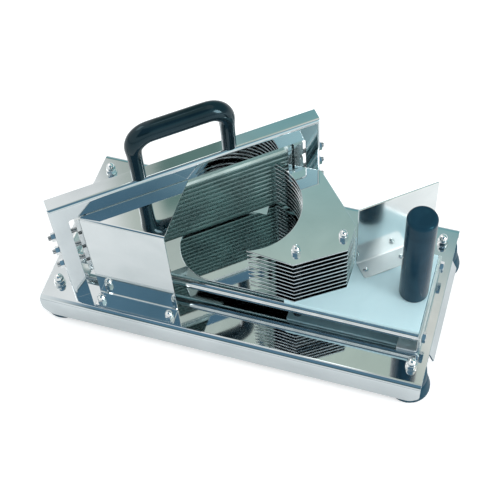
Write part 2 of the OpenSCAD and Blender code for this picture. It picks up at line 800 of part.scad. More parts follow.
// Upright plate that keeps the hand off the blades, folded at the bottom into a shorter foot
module hand_guard() {
    r = guard_t;
    folded = r + guard_t;
    color(steel) along_hand_guard() difference() {
        union() {
            translate([0, 0, folded]) cube([hand_len, guard_t, hand_h - folded]);
            translate([hand_foot_len, 0, near_gap]) cube([hand_len - hand_foot_len, guard_t, folded]);
            rotate([90, 0, 90]) linear_extrude(hand_foot_len) {
                translate([guard_t - hand_foot, 0]) square([hand_foot - folded, guard_t]);
                translate([-r, folded]) fold(r, guard_t);
            }
        }
        for (s = hand_screw_along) translate([s, -hand_screw_out, 0]) bolt_hole(hand_screw_d, guard_t);
    }
}

// Round-headed screws
module hand_guard_screws() {
    head_d = 1.8 * hand_screw_d;
    head_h = 0.6 * hand_screw_d;
    color(steel) at_hand_screws() {
        translate([0, 0, guard_t]) intersection() {
            cylinder(d = head_d, h = head_h);
            translate([0, 0, head_h - 0.7 * head_d]) sphere(d = 1.4 * head_d);
        }
        translate([0, 0, thread_room - hand_screw_deep])
            cylinder(d = hand_screw_d, h = hand_screw_deep - thread_room + 1.2 * guard_t);
    }
}

// Straight grip with rounded ends, threaded from below
module knob() {
    top_r = 5;
    low_r = 2;
    color(black_plastic) translate([knob_at.x, knob_at.y, board_top]) rotate_extrude() difference() {
        union() {
            translate([0, low_r]) square([knob_d / 2, knob_h - top_r - low_r]);
            square([knob_d / 2 - low_r, knob_h - top_r]);
            square([knob_d / 2 - top_r, knob_h]);
            translate([knob_d / 2 - top_r, knob_h - top_r]) circle(top_r);
            translate([knob_d / 2 - low_r, low_r]) circle(low_r);
        }
        translate([0, -cut]) square([knob_bolt_d / 2 + bolt_gap, knob_thread + cut]);
    }
}

module knob_bolt() {
    head_z = sunk_head_z(knob_bolt_d);
    reach = board_top - head_z + knob_thread - thread_room;
    color(dark_steel) translate([knob_at.x, knob_at.y, head_z]) hex_bolt(knob_bolt_d, reach);
}

base_tray();
rubber_feet();
foot_bolts();
foot_washers();
foot_nuts();
right_rod_bracket();
left_rod_bracket();
front_rod();
rear_rod();
rod_end_bolts();
blade_frame();
frame_bolts();
frame_nuts();
left_blade_bar();
right_blade_bar();
blades();
blade_pins();
tension_bolts();
tension_nuts();
carry_handle();
handle_screws();
front_guard();
guard_bolts();
guard_nuts();
slide_board();
fruit_tray();
pusher_plates();
pusher_spacers();
pusher_bolts();
pusher_nuts();
hand_guard();
hand_guard_screws();
knob();
knob_bolt();
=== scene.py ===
# %% [markdown]
# # A bench tomato slicer
# The slicer is folded, polished sheet steel with a white plastic slide board and dark grips. Its solids
# come from the CAD model and stay where they are. All of them could be modelled again here, but then they
# would no longer be the pieces that move and fit. So this lesson gives them the finish of the real pieces,
# softens the edges of the sheets on copies, and models again only what needs more roundness or detail than
# a plain solid.

# %% Load the model as a fixed frame
import json
import math
import bpy
from mathutils import Matrix, Vector

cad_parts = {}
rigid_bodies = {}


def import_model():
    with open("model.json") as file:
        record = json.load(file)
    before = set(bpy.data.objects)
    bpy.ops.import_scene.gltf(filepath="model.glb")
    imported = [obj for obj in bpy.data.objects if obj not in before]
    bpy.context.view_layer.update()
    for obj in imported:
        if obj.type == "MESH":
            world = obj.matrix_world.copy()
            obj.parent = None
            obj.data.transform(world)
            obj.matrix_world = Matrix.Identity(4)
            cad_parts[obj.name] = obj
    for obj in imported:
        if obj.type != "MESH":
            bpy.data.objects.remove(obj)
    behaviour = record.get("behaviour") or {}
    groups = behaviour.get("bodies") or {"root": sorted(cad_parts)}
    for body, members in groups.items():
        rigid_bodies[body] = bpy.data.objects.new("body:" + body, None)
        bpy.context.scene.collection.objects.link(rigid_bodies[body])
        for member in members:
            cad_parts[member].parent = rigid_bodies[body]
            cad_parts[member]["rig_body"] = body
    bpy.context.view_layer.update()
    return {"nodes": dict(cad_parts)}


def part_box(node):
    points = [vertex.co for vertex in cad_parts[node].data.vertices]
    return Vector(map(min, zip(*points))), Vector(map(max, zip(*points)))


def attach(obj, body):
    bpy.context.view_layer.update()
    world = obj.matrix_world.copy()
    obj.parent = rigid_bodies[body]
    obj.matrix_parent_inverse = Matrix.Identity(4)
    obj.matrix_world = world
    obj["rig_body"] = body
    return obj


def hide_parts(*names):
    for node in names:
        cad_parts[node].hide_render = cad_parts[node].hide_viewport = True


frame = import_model()
nodes = frame["nodes"]
MM = 0.001

# %% [markdown]
# ## The camera
# The photograph looks down at the slicer from the right of its front, with a long lens and the picture
# turned by a few degrees. A camera could be aimed at the middle with a constraint, but that would leave out
# the turn. The base's corners, the nuts and the frame gave the camera's place and directions, so the camera
# is set from those numbers and needs no shift. The plain colour transform keeps white as white.

# %% Place the camera
CAMERA_RIGHT = Vector((0.95496, 0.29225, -0.05137))
CAMERA_UP = Vector((-0.21447, 0.79944, 0.56116))
CAMERA_BACK = Vector((0.20507, -0.52487, 0.82611))
CAMERA_AT = Vector((0.2368, -0.6075, 1.0180))
FILM_WIDE = 36
FOCAL_LENGTH = 81.2
VIEW_END = 20
lens = bpy.data.cameras.new("photo_camera")
lens.sensor_width = FILM_WIDE
lens.lens = FOCAL_LENGTH
lens.clip_end = VIEW_END
camera = bpy.data.objects.new("photo_camera", lens)
bpy.context.scene.collection.objects.link(camera)
camera.matrix_world = Matrix([(CAMERA_RIGHT[i], CAMERA_UP[i], CAMERA_BACK[i], CAMERA_AT[i]) for i in range(3)]
                             + [(0, 0, 0, 1)])
bpy.context.scene.camera = camera
bpy.context.scene.view_settings.view_transform = "Standard"
print("camera at", tuple(round(v, 3) for v in CAMERA_AT))

# %% [markdown]
# ## The floor
# The slicer stands on a plain pale floor. Strong lamps could make it white, but they would burn out the
# steel. So the floor glows a little, for the camera alone: what the steel mirrors is the plain floor.

# %% Floor
FLOOR_WIDE = 12
FLOOR_LEVEL = -0.0005
FLOOR_PAINT = (0.82, 0.83, 0.83, 1)
FLOOR_ROUGH = 0.9
FLOOR_GLOW = 0.4


def deselect():
    if bpy.context.object and bpy.context.object.mode != "OBJECT":
        bpy.ops.object.mode_set(mode="OBJECT")
    bpy.ops.object.select_all(action="DESELECT")


def start_material(name):
    material = bpy.data.materials.new(name)
    material.use_nodes = True
    return material, material.node_tree, material.node_tree.nodes["Principled BSDF"]


deselect()
bpy.ops.mesh.primitive_plane_add(size=FLOOR_WIDE, location=(0, 0, FLOOR_LEVEL))
floor = bpy.context.object
floor.name = "studio_floor"
floor_paint, floor_tree, floor_shader = start_material("studio_floor_paint")
floor_shader.inputs["Base Color"].default_value = FLOOR_PAINT
floor_shader.inputs["Roughness"].default_value = FLOOR_ROUGH
floor_shader.inputs["Emission Color"].default_value = (1, 1, 1, 1)
floor_light = floor_tree.nodes.new("ShaderNodeLightPath")
floor_glow = floor_tree.nodes.new("ShaderNodeMath")
floor_glow.operation = "MULTIPLY"
floor_glow.inputs[1].default_value = FLOOR_GLOW
floor_tree.links.new(floor_light.outputs["Is Camera Ray"], floor_glow.inputs[0])
floor_tree.links.new(floor_glow.outputs[0], floor_shader.inputs["Emission Strength"])
floor.data.materials.append(floor_paint)
print("floor", floor.name)

# %% [markdown]
# ## The studio room
# Polished steel shows its surroundings more than itself, and a room that is white all round would leave it
# without any shape. Panels could be stood round the slicer as in a studio, but they would get in the way of
# other views. So the walls are painted into the world, by direction. At the back, a white wall on the left
# meets a grey-green one with a dark strip, a bright patch of ceiling and a warm right end. In front, a low
# white wall has dark blue above it, white at the far left and pale blue at the right. The foot of all walls
# is darker. The edges of the walls draw clear lines on folds and rods. The light that falls on matt
# surfaces is plain white, so the board and the floor keep their own colours.

# %% Colours of the walls
WALL_WHITE = (1.0, 0.99, 0.98)
WALL_GREY = (0.56, 0.61, 0.56)
SHADE_LOW = (0.24, 0.46, 0.48)
SHADE_HIGH = (0.62, 0.69, 0.60)
SHADE_STRIP = (0.15, 0.25, 0.225)
CEILING = (2.2, 2.25, 2.25)
WARM_WHITE = (0.96, 0.93, 0.86)
LOW_WALL = (0.95, 0.97, 0.97)
SHADE_DARK = (0.07, 0.13, 0.145)
SHADE_FRONT = (0.13, 0.25, 0.35)
SIDE_BLUE = (0.66, 0.95, 1.0)
SKIRTING = (0.50, 0.56, 0.58)
SOFT_WHITE = (0.95, 0.97, 0.98)
print("the ceiling is", round(CEILING[1] / WALL_WHITE[1], 2), "times as bright as the white wall")

# %% Directions in the room
# How fast the edge of the white wall turns to the left as it goes back
WALL_TURN = 0.625
room = bpy.data.worlds.new("studio_room")
bpy.context.scene.world = room
room.use_nodes = True
room_tree = room.node_tree
room_place = room_tree.nodes.new("ShaderNodeTexCoord")
room_split = room_tree.nodes.new("ShaderNodeSeparateXYZ")
room_tree.links.new(room_place.outputs["Generated"], room_split.inputs[0])
to_right, to_back, upward = (room_split.outputs[axis] for axis in "XYZ")
turned_wall = room_tree.nodes.new("ShaderNodeMath")
turned_wall.operation = "MULTIPLY_ADD"
turned_wall.inputs[1].default_value = WALL_TURN
room_tree.links.new(to_back, turned_wall.inputs[0])
room_tree.links.new(to_right, turned_wall.inputs[2])
wall_side = turned_wall.outputs[0]
print("directions", to_right.name, to_back.name, upward.name)

# %% Blend two colours
# Places of the share, the two colours and the result on a Mix node that mixes colours
MIX_SHARE, MIX_LOW, MIX_HIGH, MIX_RESULT = 0, 6, 7, 2


def mix_colours(tree, share, low, high):
    mix = tree.nodes.new("ShaderNodeMix")
    mix.data_type = "RGBA"
    tree.links.new(share, mix.inputs[MIX_SHARE])
    for place, colour in ((MIX_LOW, low), (MIX_HIGH, high)):
        if isinstance(colour, tuple):
            mix.inputs[place].default_value = (*colour, 1)
        else:
            tree.links.new(colour, mix.inputs[place])
    return mix.outputs[MIX_RESULT]


def room_blend(value, start, end, low, high):
    share = room_tree.nodes.new("ShaderNodeMapRange")
    share.interpolation_type = "SMOOTHSTEP"
    share.inputs["From Min"].default_value = start
    share.inputs["From Max"].default_value = end
    room_tree.links.new(value, share.inputs["Value"])
    return mix_colours(room_tree, share.outputs["Result"], low, high)


# %% Back of the room
shade = room_blend(upward, 0.72, 0.92, SHADE_LOW, SHADE_HIGH)
grey_wall = room_blend(wall_side, 0.02, 0.18, WALL_GREY, shade)
warm_end = room_blend(upward, 0.80, 0.86, SHADE_LOW, WARM_WHITE)
right_wall = room_blend(wall_side, 0.24, 0.28, grey_wall, warm_end)
strip_start = room_blend(wall_side, 0.040, 0.054, right_wall, SHADE_STRIP)
strip = room_blend(wall_side, 0.116, 0.132, strip_start, right_wall)
low_strip = room_blend(upward, 0.795, 0.812, strip, right_wall)
back_wall = room_blend(wall_side, -0.02, 0.02, WALL_WHITE, low_strip)
ceiling_left = room_blend(to_right, -0.11, -0.07, CEILING, back_wall)
ceiling = room_blend(wall_side, 0.045, 0.065, back_wall, ceiling_left)
back = room_blend(upward, 0.886, 0.900, back_wall, ceiling)
print("nodes for the back", len(room_tree.nodes))

# %% Front of the room, and what matt surfaces see
dark_front = room_blend(upward, 0.64, 0.78, SHADE_DARK, SHADE_FRONT)
left_front = room_blend(to_right, -0.37, -0.32, LOW_WALL, dark_front)
front = room_blend(to_right, 0.44, 0.60, left_front, SIDE_BLUE)
low_front = room_blend(upward, 0.46, 0.56, LOW_WALL, front)
upper_walls = room_blend(to_back, -0.12, 0.08, low_front, back)
walls = room_blend(upward, 0.0, 0.22, SKIRTING, upper_walls)
room_light = room_tree.nodes.new("ShaderNodeLightPath")
seen = room_blend(room_light.outputs["Is Glossy Ray"], 0, 1, SOFT_WHITE, walls)
room_tree.links.new(seen, room_tree.nodes["Background"].inputs["Color"])
room_tree.nodes["Background"].inputs["Strength"].default_value = 1.0
print("room nodes", len(room_tree.nodes))

# %% [markdown]
# ## The lamps
# The room alone lights the slicer evenly. One bright lamp would give it hard shadows, so two large, weak
# ones model it gently: one from the back left, and a stronger one from the right for the board and the
# grips.


# %% Soft lamps
def soft_lamp(name, at, look_at, size, power):
    lamp = bpy.data.lights.new(name, "AREA")
    lamp.shape = "RECTANGLE"
    lamp.size, lamp.size_y = size
    lamp.energy = power
    holder = bpy.data.objects.new(name, lamp)
    bpy.context.scene.collection.objects.link(holder)
    holder.location = at
    holder.rotation_euler = (Vector(look_at) - Vector(at)).to_track_quat("-Z", "Y").to_euler()


soft_lamp("key_lamp", at=(-1.3, 0.5, 1.5), look_at=(0, 0, 0.06), size=(0.7, 0.7), power=3)
soft_lamp("side_lamp", at=(1.5, -0.35, 0.8), look_at=(0, 0, 0.1), size=(0.5, 0.9), power=13)

# %% [markdown]
# ## Effects that several finishes share
# Handling leaves faint smudges on polished metal and plastic, polishing leaves fine lines that run one way,
# and moulded plastic has a very fine grain. Each could be built anew in every material. As a node group
# with a few inputs, it is built once and placed with its own size, strength and, for the lines, its own
# direction.


# %% Start a group
def start_group(name, inputs, outputs):
    group = bpy.data.node_groups.new(name, "ShaderNodeTree")
    for socket, value in inputs.items():
        group.interface.new_socket(socket, in_out="INPUT", socket_type="NodeSocketFloat").default_value = value
    for socket in outputs:
        group.interface.new_socket(socket, in_out="OUTPUT", socket_type="NodeSocketFloat")
    return group, group.nodes.new("NodeGroupInput"), group.nodes.new("NodeGroupOutput")


# %% Smudges of handling
def make_smudges():
    group, given, result = start_group("handling_smudges", {"Scale": 18.0, "Contrast": 1.0}, ["Mask"])
    place = group.nodes.new("ShaderNodeTexCoord")
    cloud = group.nodes.new("ShaderNodeTexNoise")
    cloud.inputs["Detail"].default_value = 5
    cloud.inputs["Distortion"].default_value = 0.6
    spread = group.nodes.new("ShaderNodeMapRange")
    spread.inputs["From Min"].default_value = 0.35
    spread.inputs["From Max"].default_value = 0.7
    group.links.new(place.outputs["Object"], cloud.inputs["Vector"])
    group.links.new(given.outputs["Scale"], cloud.inputs["Scale"])
    group.links.new(cloud.outputs["Fac"], spread.inputs["Value"])
    group.links.new(given.outputs["Contrast"], spread.inputs["To Max"])
    group.links.new(spread.outputs["Result"], result.inputs["Mask"])
    return group


smudges = make_smudges()
print("group", smudges.name)


# %% Lines of polishing
def make_polish_lines():
    group, given, result = start_group("polish_lines", {"Along": 6.0, "Across": 900.0, "Turn": 0.0}, ["Lines"])
    place = group.nodes.new("ShaderNodeTexCoord")
    turn = group.nodes.new("ShaderNodeVectorRotate")
    turn.rotation_type = "Z_AXIS"
    stretch = group.nodes.new("ShaderNodeVectorMath")
    stretch.operation = "MULTIPLY"
    scales = group.nodes.new("ShaderNodeCombineXYZ")
    streaks = group.nodes.new("ShaderNodeTexNoise")
    streaks.inputs["Scale"].default_value = 1
    streaks.inputs["Detail"].default_value = 3
    group.links.new(given.outputs["Along"], scales.inputs["X"])
    group.links.new(given.outputs["Across"], scales.inputs["Y"])
    group.links.new(given.outputs["Across"], scales.inputs["Z"])
    group.links.new(place.outputs["Object"], turn.inputs["Vector"])
    group.links.new(given.outputs["Turn"], turn.inputs["Angle"])
    group.links.new(turn.outputs["Vector"], stretch.inputs[0])
    group.links.new(scales.outputs["Vector"], stretch.inputs[1])
    group.links.new(stretch.outputs["Vector"], streaks.inputs["Vector"])
    group.links.new(streaks.outputs["Fac"], result.inputs["Lines"])
    return group


polish_lines = make_polish_lines()
print("group", polish_lines.name)


# %% Grain of moulding
def make_moulding_grain():
    group, given, result = start_group("moulding_grain", {"Scale": 1400.0}, ["Height"])
    place = group.nodes.new("ShaderNodeTexCoord")
    grain = group.nodes.new("ShaderNodeTexNoise")
    grain.inputs["Detail"].default_value = 2
    group.links.new(place.outputs["Object"], grain.inputs["Vector"])
    group.links.new(given.outputs["Scale"], grain.inputs["Scale"])
    group.links.new(grain.outputs["Fac"], result.inputs["Height"])
    return group


moulding_grain = make_moulding_grain()
print("group", moulding_grain.name)

# %% [markdown]
# ## Steel
# The sheets are stainless steel polished almost to a mirror, with a cool grey cast. One even metal would
# look like plastic film, so colour and roughness drift a little with the smudges, and the polishing lines
# tilt the surface by very little, enough to draw highlights out along the sheet. The rods, blades, brackets
# and nuts are the same metal, ground, cut or plated differently. The lines run along each piece, so those
# of the slanted frame and its blades are turned with it.


# %% Parts of a material
def place_group(tree, group, **values):
    node = tree.nodes.new("ShaderNodeGroup")
    node.node_tree = group
    for socket, value in values.items():
        node.inputs[socket].default_value = value
    return node


def map_range(tree, value, low, high):
    spread = tree.nodes.new("ShaderNodeMapRange")
    spread.inputs["To Min"].default_value = low
    spread.inputs["To Max"].default_value = high
    tree.links.new(value, spread.inputs["Value"])
    return spread.outputs["Result"]


def add_bump(tree, shader, height, strength, depth):
    bump = tree.nodes.new("ShaderNodeBump")
    bump.inputs["Strength"].default_value = strength
    bump.inputs["Distance"].default_value = depth
    tree.links.new(height, bump.inputs["Height"])
    tree.links.new(bump.outputs["Normal"], shader.inputs["Normal"])


# %% A steel with smudges and lines
SLANT = math.radians(38.65)
LINE_DEPTH = 0.00002


def steel(name, smudged, clean, roughness, smudge_scale, lines, turn=0.0):
    along, across, strength = lines
    material, tree, shader = start_material(name)
    shader.inputs["Metallic"].default_value = 1
    smudge = place_group(tree, smudges, Scale=smudge_scale)
    polish = place_group(tree, polish_lines, Along=along, Across=across, Turn=-turn)
    tree.links.new(mix_colours(tree, smudge.outputs["Mask"], clean, smudged), shader.inputs["Base Color"])
    tree.links.new(map_range(tree, smudge.outputs["Mask"], *roughness), shader.inputs["Roughness"])
    add_bump(tree, shader, polish.outputs["Lines"], strength, LINE_DEPTH)
    return material


# %% Steel materials
# Each has its colours smudged and clean, its roughness clean and smudged, the scale of its smudges, and its
# lines by their scale along, their scale across and their strength
SHEET = ((0.58, 0.63, 0.65), (0.68, 0.73, 0.75))
sheet_steel = steel("sheet_steel", *SHEET, (0.025, 0.06), 16, (8, 1500, 0.06))
frame_steel = steel("frame_steel", *SHEET, (0.03, 0.07), 16, (8, 1500, 0.08), SLANT)
mirror_steel = steel("mirror_steel", (0.65, 0.70, 0.71), (0.74, 0.78, 0.79), (0.03, 0.06), 20, (10, 1800, 0.05))
guard_steel = steel("guard_steel", (0.76, 0.80, 0.80), (0.86, 0.89, 0.89), (0.10, 0.15), 24, (10, 1200, 0.10),
                    SLANT)
cut_steel = steel("cut_steel", (0.80, 0.82, 0.82), (0.90, 0.91, 0.91), (0.26, 0.36), 30, (200, 200, 0.10))
ground_rod = steel("ground_rod", (0.60, 0.64, 0.65), (0.74, 0.77, 0.78), (0.07, 0.13), 60, (900, 40, 0.12))
blade_steel = steel("blade_steel", (0.40, 0.49, 0.49), (0.52, 0.62, 0.62), (0.18, 0.28), 40, (5, 900, 0.06),
                    SLANT)
sawn_steel = steel("sawn_steel", (0.56, 0.60, 0.62), (0.70, 0.74, 0.75), (0.16, 0.28), 80, (60, 1200, 0.3),
                   SLANT)
plated_nut = steel("plated_nut", (0.74, 0.76, 0.76), (0.86, 0.88, 0.88), (0.05, 0.11), 90, (60, 60, 0.05))
zinc_bolt = steel("zinc_bolt", (0.40, 0.42, 0.43), (0.54, 0.56, 0.57), (0.22, 0.36), 120, (300, 300, 0.3))
print("steel materials", sum(m.name.endswith(("steel", "rod", "nut", "bolt")) for m in bpy.data.materials))

# %% [markdown]
# ### The dull foot of the hand guard
# The hand guard's foot shows no clear reflections, while its upright face does. It could have a material of
# its own, but the guard is one sheet. So its roughness has a least value that ends just above the foot.

# %% Dull the hand guard's foot
DULL_TOP = 0.0716
DULL_FADE = 0.0008
DULL_ROUGH = 0.5


def dull_below(material, height, fade, rough):
    tree = material.node_tree
    shader = tree.nodes["Principled BSDF"]
    place = tree.nodes.new("ShaderNodeTexCoord")
    split = tree.nodes.new("ShaderNodeSeparateXYZ")
    edge = tree.nodes.new("ShaderNodeMapRange")
    edge.inputs["From Min"].default_value = height
    edge.inputs["From Max"].default_value = height + fade
    edge.inputs["To Min"].default_value = rough
    edge.inputs["To Max"].default_value = 0
    most = tree.nodes.new("ShaderNodeMath")
    most.operation = "MAXIMUM"
    tree.links.new(place.outputs["Object"], split.inputs[0])
    tree.links.new(split.outputs["Z"], edge.inputs["Value"])
    tree.links.new(edge.outputs["Result"], most.inputs[0])
    tree.links.new(shader.inputs["Roughness"].links[0].from_socket, most.inputs[1])
    tree.links.new(most.outputs[0], shader.inputs["Roughness"])


dull_below(guard_steel, DULL_TOP, DULL_FADE, DULL_ROUGH)
print("dull below", DULL_TOP / MM, "mm")

# %% [markdown]
# ## Plastic and rubber
# The slide board is cut from white polyethylene: slightly waxy and cool, with faint saw and rubbing marks
# along the slide. Plain white paint would look like card, so light goes a little way into it. The grips are
# glossy blue-black plastic with a fine grain, the knob bluer than the handle, and the feet are matt rubber.
# These three differ in numbers only, so one function makes them.

# %% Board material
BOARD_CLEAN = (0.58, 0.79, 0.84)
BOARD_RUBBED = (0.53, 0.74, 0.79)
MARK_DEPTH = 0.00005


def cut_board():
    material, tree, shader = start_material("white_board")
    smudge = place_group(tree, smudges, Scale=26)
    marks = place_group(tree, polish_lines, Along=14, Across=420)
    tree.links.new(mix_colours(tree, smudge.outputs["Mask"], BOARD_CLEAN, BOARD_RUBBED),
                   shader.inputs["Base Color"])
    tree.links.new(map_range(tree, smudge.outputs["Mask"], 0.30, 0.42), shader.inputs["Roughness"])
    shader.inputs["Subsurface Weight"].default_value = 0.45
    shader.inputs["Subsurface Radius"].default_value = (0.012, 0.012, 0.012)
    add_bump(tree, shader, marks.outputs["Lines"], 0.2, MARK_DEPTH)
    return material


white_board = cut_board()
print("board", white_board.name)

# %% Grips and rubber
GRIP_SMUDGE = 45
GRAIN_DEPTH = 0.00004


def moulded(name, clean, smudged, roughness, ior, tint, grain, strength):
    material, tree, shader = start_material(name)
    smudge = place_group(tree, smudges, Scale=GRIP_SMUDGE)
    fine = place_group(tree, moulding_grain, Scale=grain)
    tree.links.new(mix_colours(tree, smudge.outputs["Mask"], clean, smudged), shader.inputs["Base Color"])
    tree.links.new(map_range(tree, smudge.outputs["Mask"], *roughness), shader.inputs["Roughness"])
    shader.inputs["Specular Tint"].default_value = (*tint, 1)
    shader.inputs["IOR"].default_value = ior
    add_bump(tree, shader, fine.outputs["Height"], strength, GRAIN_DEPTH)
    return material


black_grip = moulded("black_grip", (0.002, 0.008, 0.012), (0.004, 0.012, 0.018), (0.09, 0.15), ior=1.45,
                     tint=(0.55, 0.88, 1), grain=1500, strength=0.05)
blue_knob = moulded("blue_knob", (0.007, 0.026, 0.044), (0.010, 0.035, 0.058), (0.12, 0.18), ior=1.25,
                    tint=(0.20, 0.80, 1), grain=1500, strength=0.05)
black_rubber = moulded("black_rubber", (0.007, 0.042, 0.070), (0.012, 0.058, 0.092), (0.34, 0.46), ior=1.25,
                       tint=(0.4, 0.85, 1), grain=900, strength=0.25)
print("materials", len(bpy.data.materials))

# %% [markdown]
# ## Finishes on the pieces
# Every piece that comes from the CAD model takes the finish of its real material. A long row of assignments
# would do the same, but a table shows at a glance which pieces share a finish.

# %% Give each node its finish
FINISH = {
    "base_tray": sheet_steel, "rubber_feet": black_rubber, "foot_bolts": zinc_bolt, "foot_washers": plated_nut,
    "foot_nuts": plated_nut, "right_rod_bracket": cut_steel, "left_rod_bracket": cut_steel,
    "front_rod": ground_rod, "rear_rod": ground_rod, "rod_end_bolts": plated_nut, "blade_frame": frame_steel,
    "frame_bolts": zinc_bolt, "frame_nuts": zinc_bolt, "left_blade_bar": sawn_steel,
    "right_blade_bar": sawn_steel, "blades": blade_steel, "blade_pins": zinc_bolt, "tension_bolts": zinc_bolt,
    "tension_nuts": plated_nut, "carry_handle": black_grip, "handle_screws": zinc_bolt,
    "front_guard": mirror_steel, "guard_bolts": zinc_bolt, "guard_nuts": plated_nut, "slide_board": white_board,
    "fruit_tray": mirror_steel, "pusher_plates": mirror_steel, "pusher_spacers": zinc_bolt,
    "pusher_bolts": zinc_bolt, "pusher_nuts": plated_nut, "hand_guard": guard_steel,
    "hand_guard_screws": plated_nut, "knob": blue_knob, "knob_bolt": zinc_bolt,
}
for name, finish in FINISH.items():
    nodes[name].data.materials.clear()
    nodes[name].data.materials.append(finish)
BODY = {name: nodes[name]["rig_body"] for name in nodes}
print("finished nodes", len(FINISH), "of", len(nodes))

# %% [markdown]
# ## Soft edges on the sheets
# No sheet has a perfectly sharp edge: after cutting, its edges are broken and polished, and they catch the
# light as thin bright lines. A bevel in the shader would only tilt the light and leave the outline sharp,
# so the edges are really rounded. A copy of a node is merged into one skin, its flat triangles are
# dissolved, and a narrow bevel rounds every sharp edge. Weighted normals keep the flats flat. The copy then
# stands for the node.


# %% Let a piece stand for a node
def stands_for(piece, node):
    piece.data.materials.clear()
    piece.data.materials.append(FINISH[node])
    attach(piece, BODY[node])
    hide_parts(node)


def make_active(piece):
    deselect()
    piece.select_set(True)
    bpy.context.view_layer.objects.active = piece


# %% Copy a node as one skin and round its edges
MERGE_WITHIN = 0.000002
FLAT_ANGLE = math.radians(0.4)
SHARP_ANGLE = math.radians(40)
SMOOTH_ANGLE = math.radians(35)


def one_skin(name, node):
    piece = bpy.data.objects.new(name, nodes[node].data.copy())
    bpy.context.scene.collection.objects.link(piece)
    make_active(piece)
    bpy.ops.object.mode_set(mode="EDIT")
    bpy.ops.mesh.select_all(action="SELECT")
    bpy.ops.mesh.customdata_custom_splitnormals_clear()
    bpy.ops.mesh.remove_doubles(threshold=MERGE_WITHIN)
    bpy.ops.mesh.dissolve_limited(angle_limit=FLAT_ANGLE)
    bpy.ops.object.mode_set(mode="OBJECT")
    return piece


def round_edges(piece, width, segments):
    make_active(piece)
    bpy.ops.object.modifier_add(type="BEVEL")
    bevel = piece.modifiers[-1]
    bevel.width = width
    bevel.segments = segments
    bevel.limit_method = "ANGLE"
    bevel.angle_limit = SHARP_ANGLE
    bevel.use_clamp_overlap = False
    bpy.ops.object.modifier_apply(modifier=bevel.name)
    bpy.ops.object.shade_smooth_by_angle(angle=SMOOTH_ANGLE)
    bpy.ops.object.modifier_add(type="WEIGHTED_NORMAL")
    piece.modifiers[-1].keep_sharp = True
    bpy.ops.object.modifier_apply(modifier=piece.modifiers[-1].name)


# %% Round chosen corners first
CORNER_ANGLE = math.radians(30)
CORNER_STEPS = 4


def clear_selection():
    bpy.ops.object.mode_set(mode="EDIT")
    bpy.ops.mesh.select_all(action="DESELECT")
    bpy.ops.object.mode_set(mode="OBJECT")


def round_corners(piece, chosen, radius):
    make_active(piece)
    bpy.ops.object.mode_set(mode="EDIT")
    bpy.ops.mesh.select_mode(type="EDGE")
    bpy.ops.mesh.select_all(action="DESELECT")
    bpy.ops.mesh.edges_select_sharp(sharpness=CORNER_ANGLE)
    bpy.ops.object.mode_set(mode="OBJECT")
    points = piece.data.vertices
    picked = [edge.index for edge in piece.data.edges if edge.select
              and chosen(points[edge.vertices[0]].co / MM, points[edge.vertices[1]].co / MM)]
    clear_selection()
    for index in picked:
        piece.data.edges[index].select = True
    bpy.ops.object.mode_set(mode="EDIT")
    bpy.ops.mesh.bevel(offset=radius, segments=CORNER_STEPS, affect="EDGES")
    bpy.ops.object.mode_set(mode="OBJECT")
    print(piece.name, "corner edges rounded", len(picked))


def soft_copy(name, node, width, corners=None, segments=2):
    piece = one_skin(name, node)
    if corners:
        round_corners(piece, *corners)
    round_edges(piece, width, segments)
    stands_for(piece, node)
    print(name, "faces", len(piece.data.polygons))


# %% [markdown]
# The lower corners of the base's folds are cut round, not square, so both edges of each clipped corner are
# rounded first. The same is done to the two free corners of the hand guard's foot. Edges could be picked by
# number, but a number changes with the mesh. Their place and direction, in millimetres, stay true.

# %% Corners to round
ALIKE = 0.01
FOLD_END_X, FOLD_OUTSIDE_Y, FOLD_LOW_Z = 185, 95, 25
GUARD_THICK, GUARD_FREE_X, GUARD_FOOT_Z = 1.5, 100, 72
FOLD_RADIUS = 3.5 * MM
GUARD_RADIUS = 2.5 * MM


def fold_corner(a, b):
    across = abs(a.x - b.x) < ALIKE and abs(a.z - b.z) < ALIKE and abs(a.y - b.y) > 1
    return across and abs(a.x) > FOLD_END_X and a.z < FOLD_LOW_Z and abs(a.y) > FOLD_OUTSIDE_Y


def guard_corner(a, b):
    upright = abs(a.x - b.x) < ALIKE and abs(a.y - b.y) < ALIKE
    through = abs(abs(a.z - b.z) - GUARD_THICK) < 0.1
    return upright and through and a.z < GUARD_FOOT_Z and GUARD_FREE_X < a.x


# %% Sheets, bars, rods and board
soft_copy("folded_base", "base_tray", 0.40 * MM, (fold_corner, FOLD_RADIUS))
soft_copy("right_rod_angle", "right_rod_bracket", 0.85 * MM, segments=4)
soft_copy("left_rod_angle", "left_rod_bracket", 0.85 * MM, segments=4)
soft_copy("folded_blade_frame", "blade_frame", 0.40 * MM)
soft_copy("bent_front_guard", "front_guard", 0.30 * MM)
soft_copy("bent_hand_guard", "hand_guard", 0.30 * MM, (guard_corner, GUARD_RADIUS))
soft_copy("round_end_tray", "fruit_tray", 0.45 * MM)
soft_copy("nest_plates", "pusher_plates", 0.60 * MM, segments=3)
soft_copy("left_sawn_bar", "left_blade_bar", 0.12 * MM)
soft_copy("right_sawn_bar", "right_blade_bar", 0.12 * MM)
soft_copy("front_guide_rod", "front_rod", 0.60 * MM)
soft_copy("rear_guide_rod", "rear_rod", 0.60 * MM)
soft_copy("grooved_board", "slide_board", 0.70 * MM)
soft_copy("foot_disc_washers", "foot_washers", 0.25 * MM)

# %% [markdown]
# ## Turned pieces
# The knob, the rubber feet, the domes of the nuts and the threads are round about one axis. A Screw
# modifier could sweep a drawn line round that axis. Here they are turned as on a lathe, because each step
# can be followed: a ring of edges is extruded upwards again and again, and each new ring is scaled to the
# radius of the drawing. Both ends are then closed, and the normals are made to point outwards.


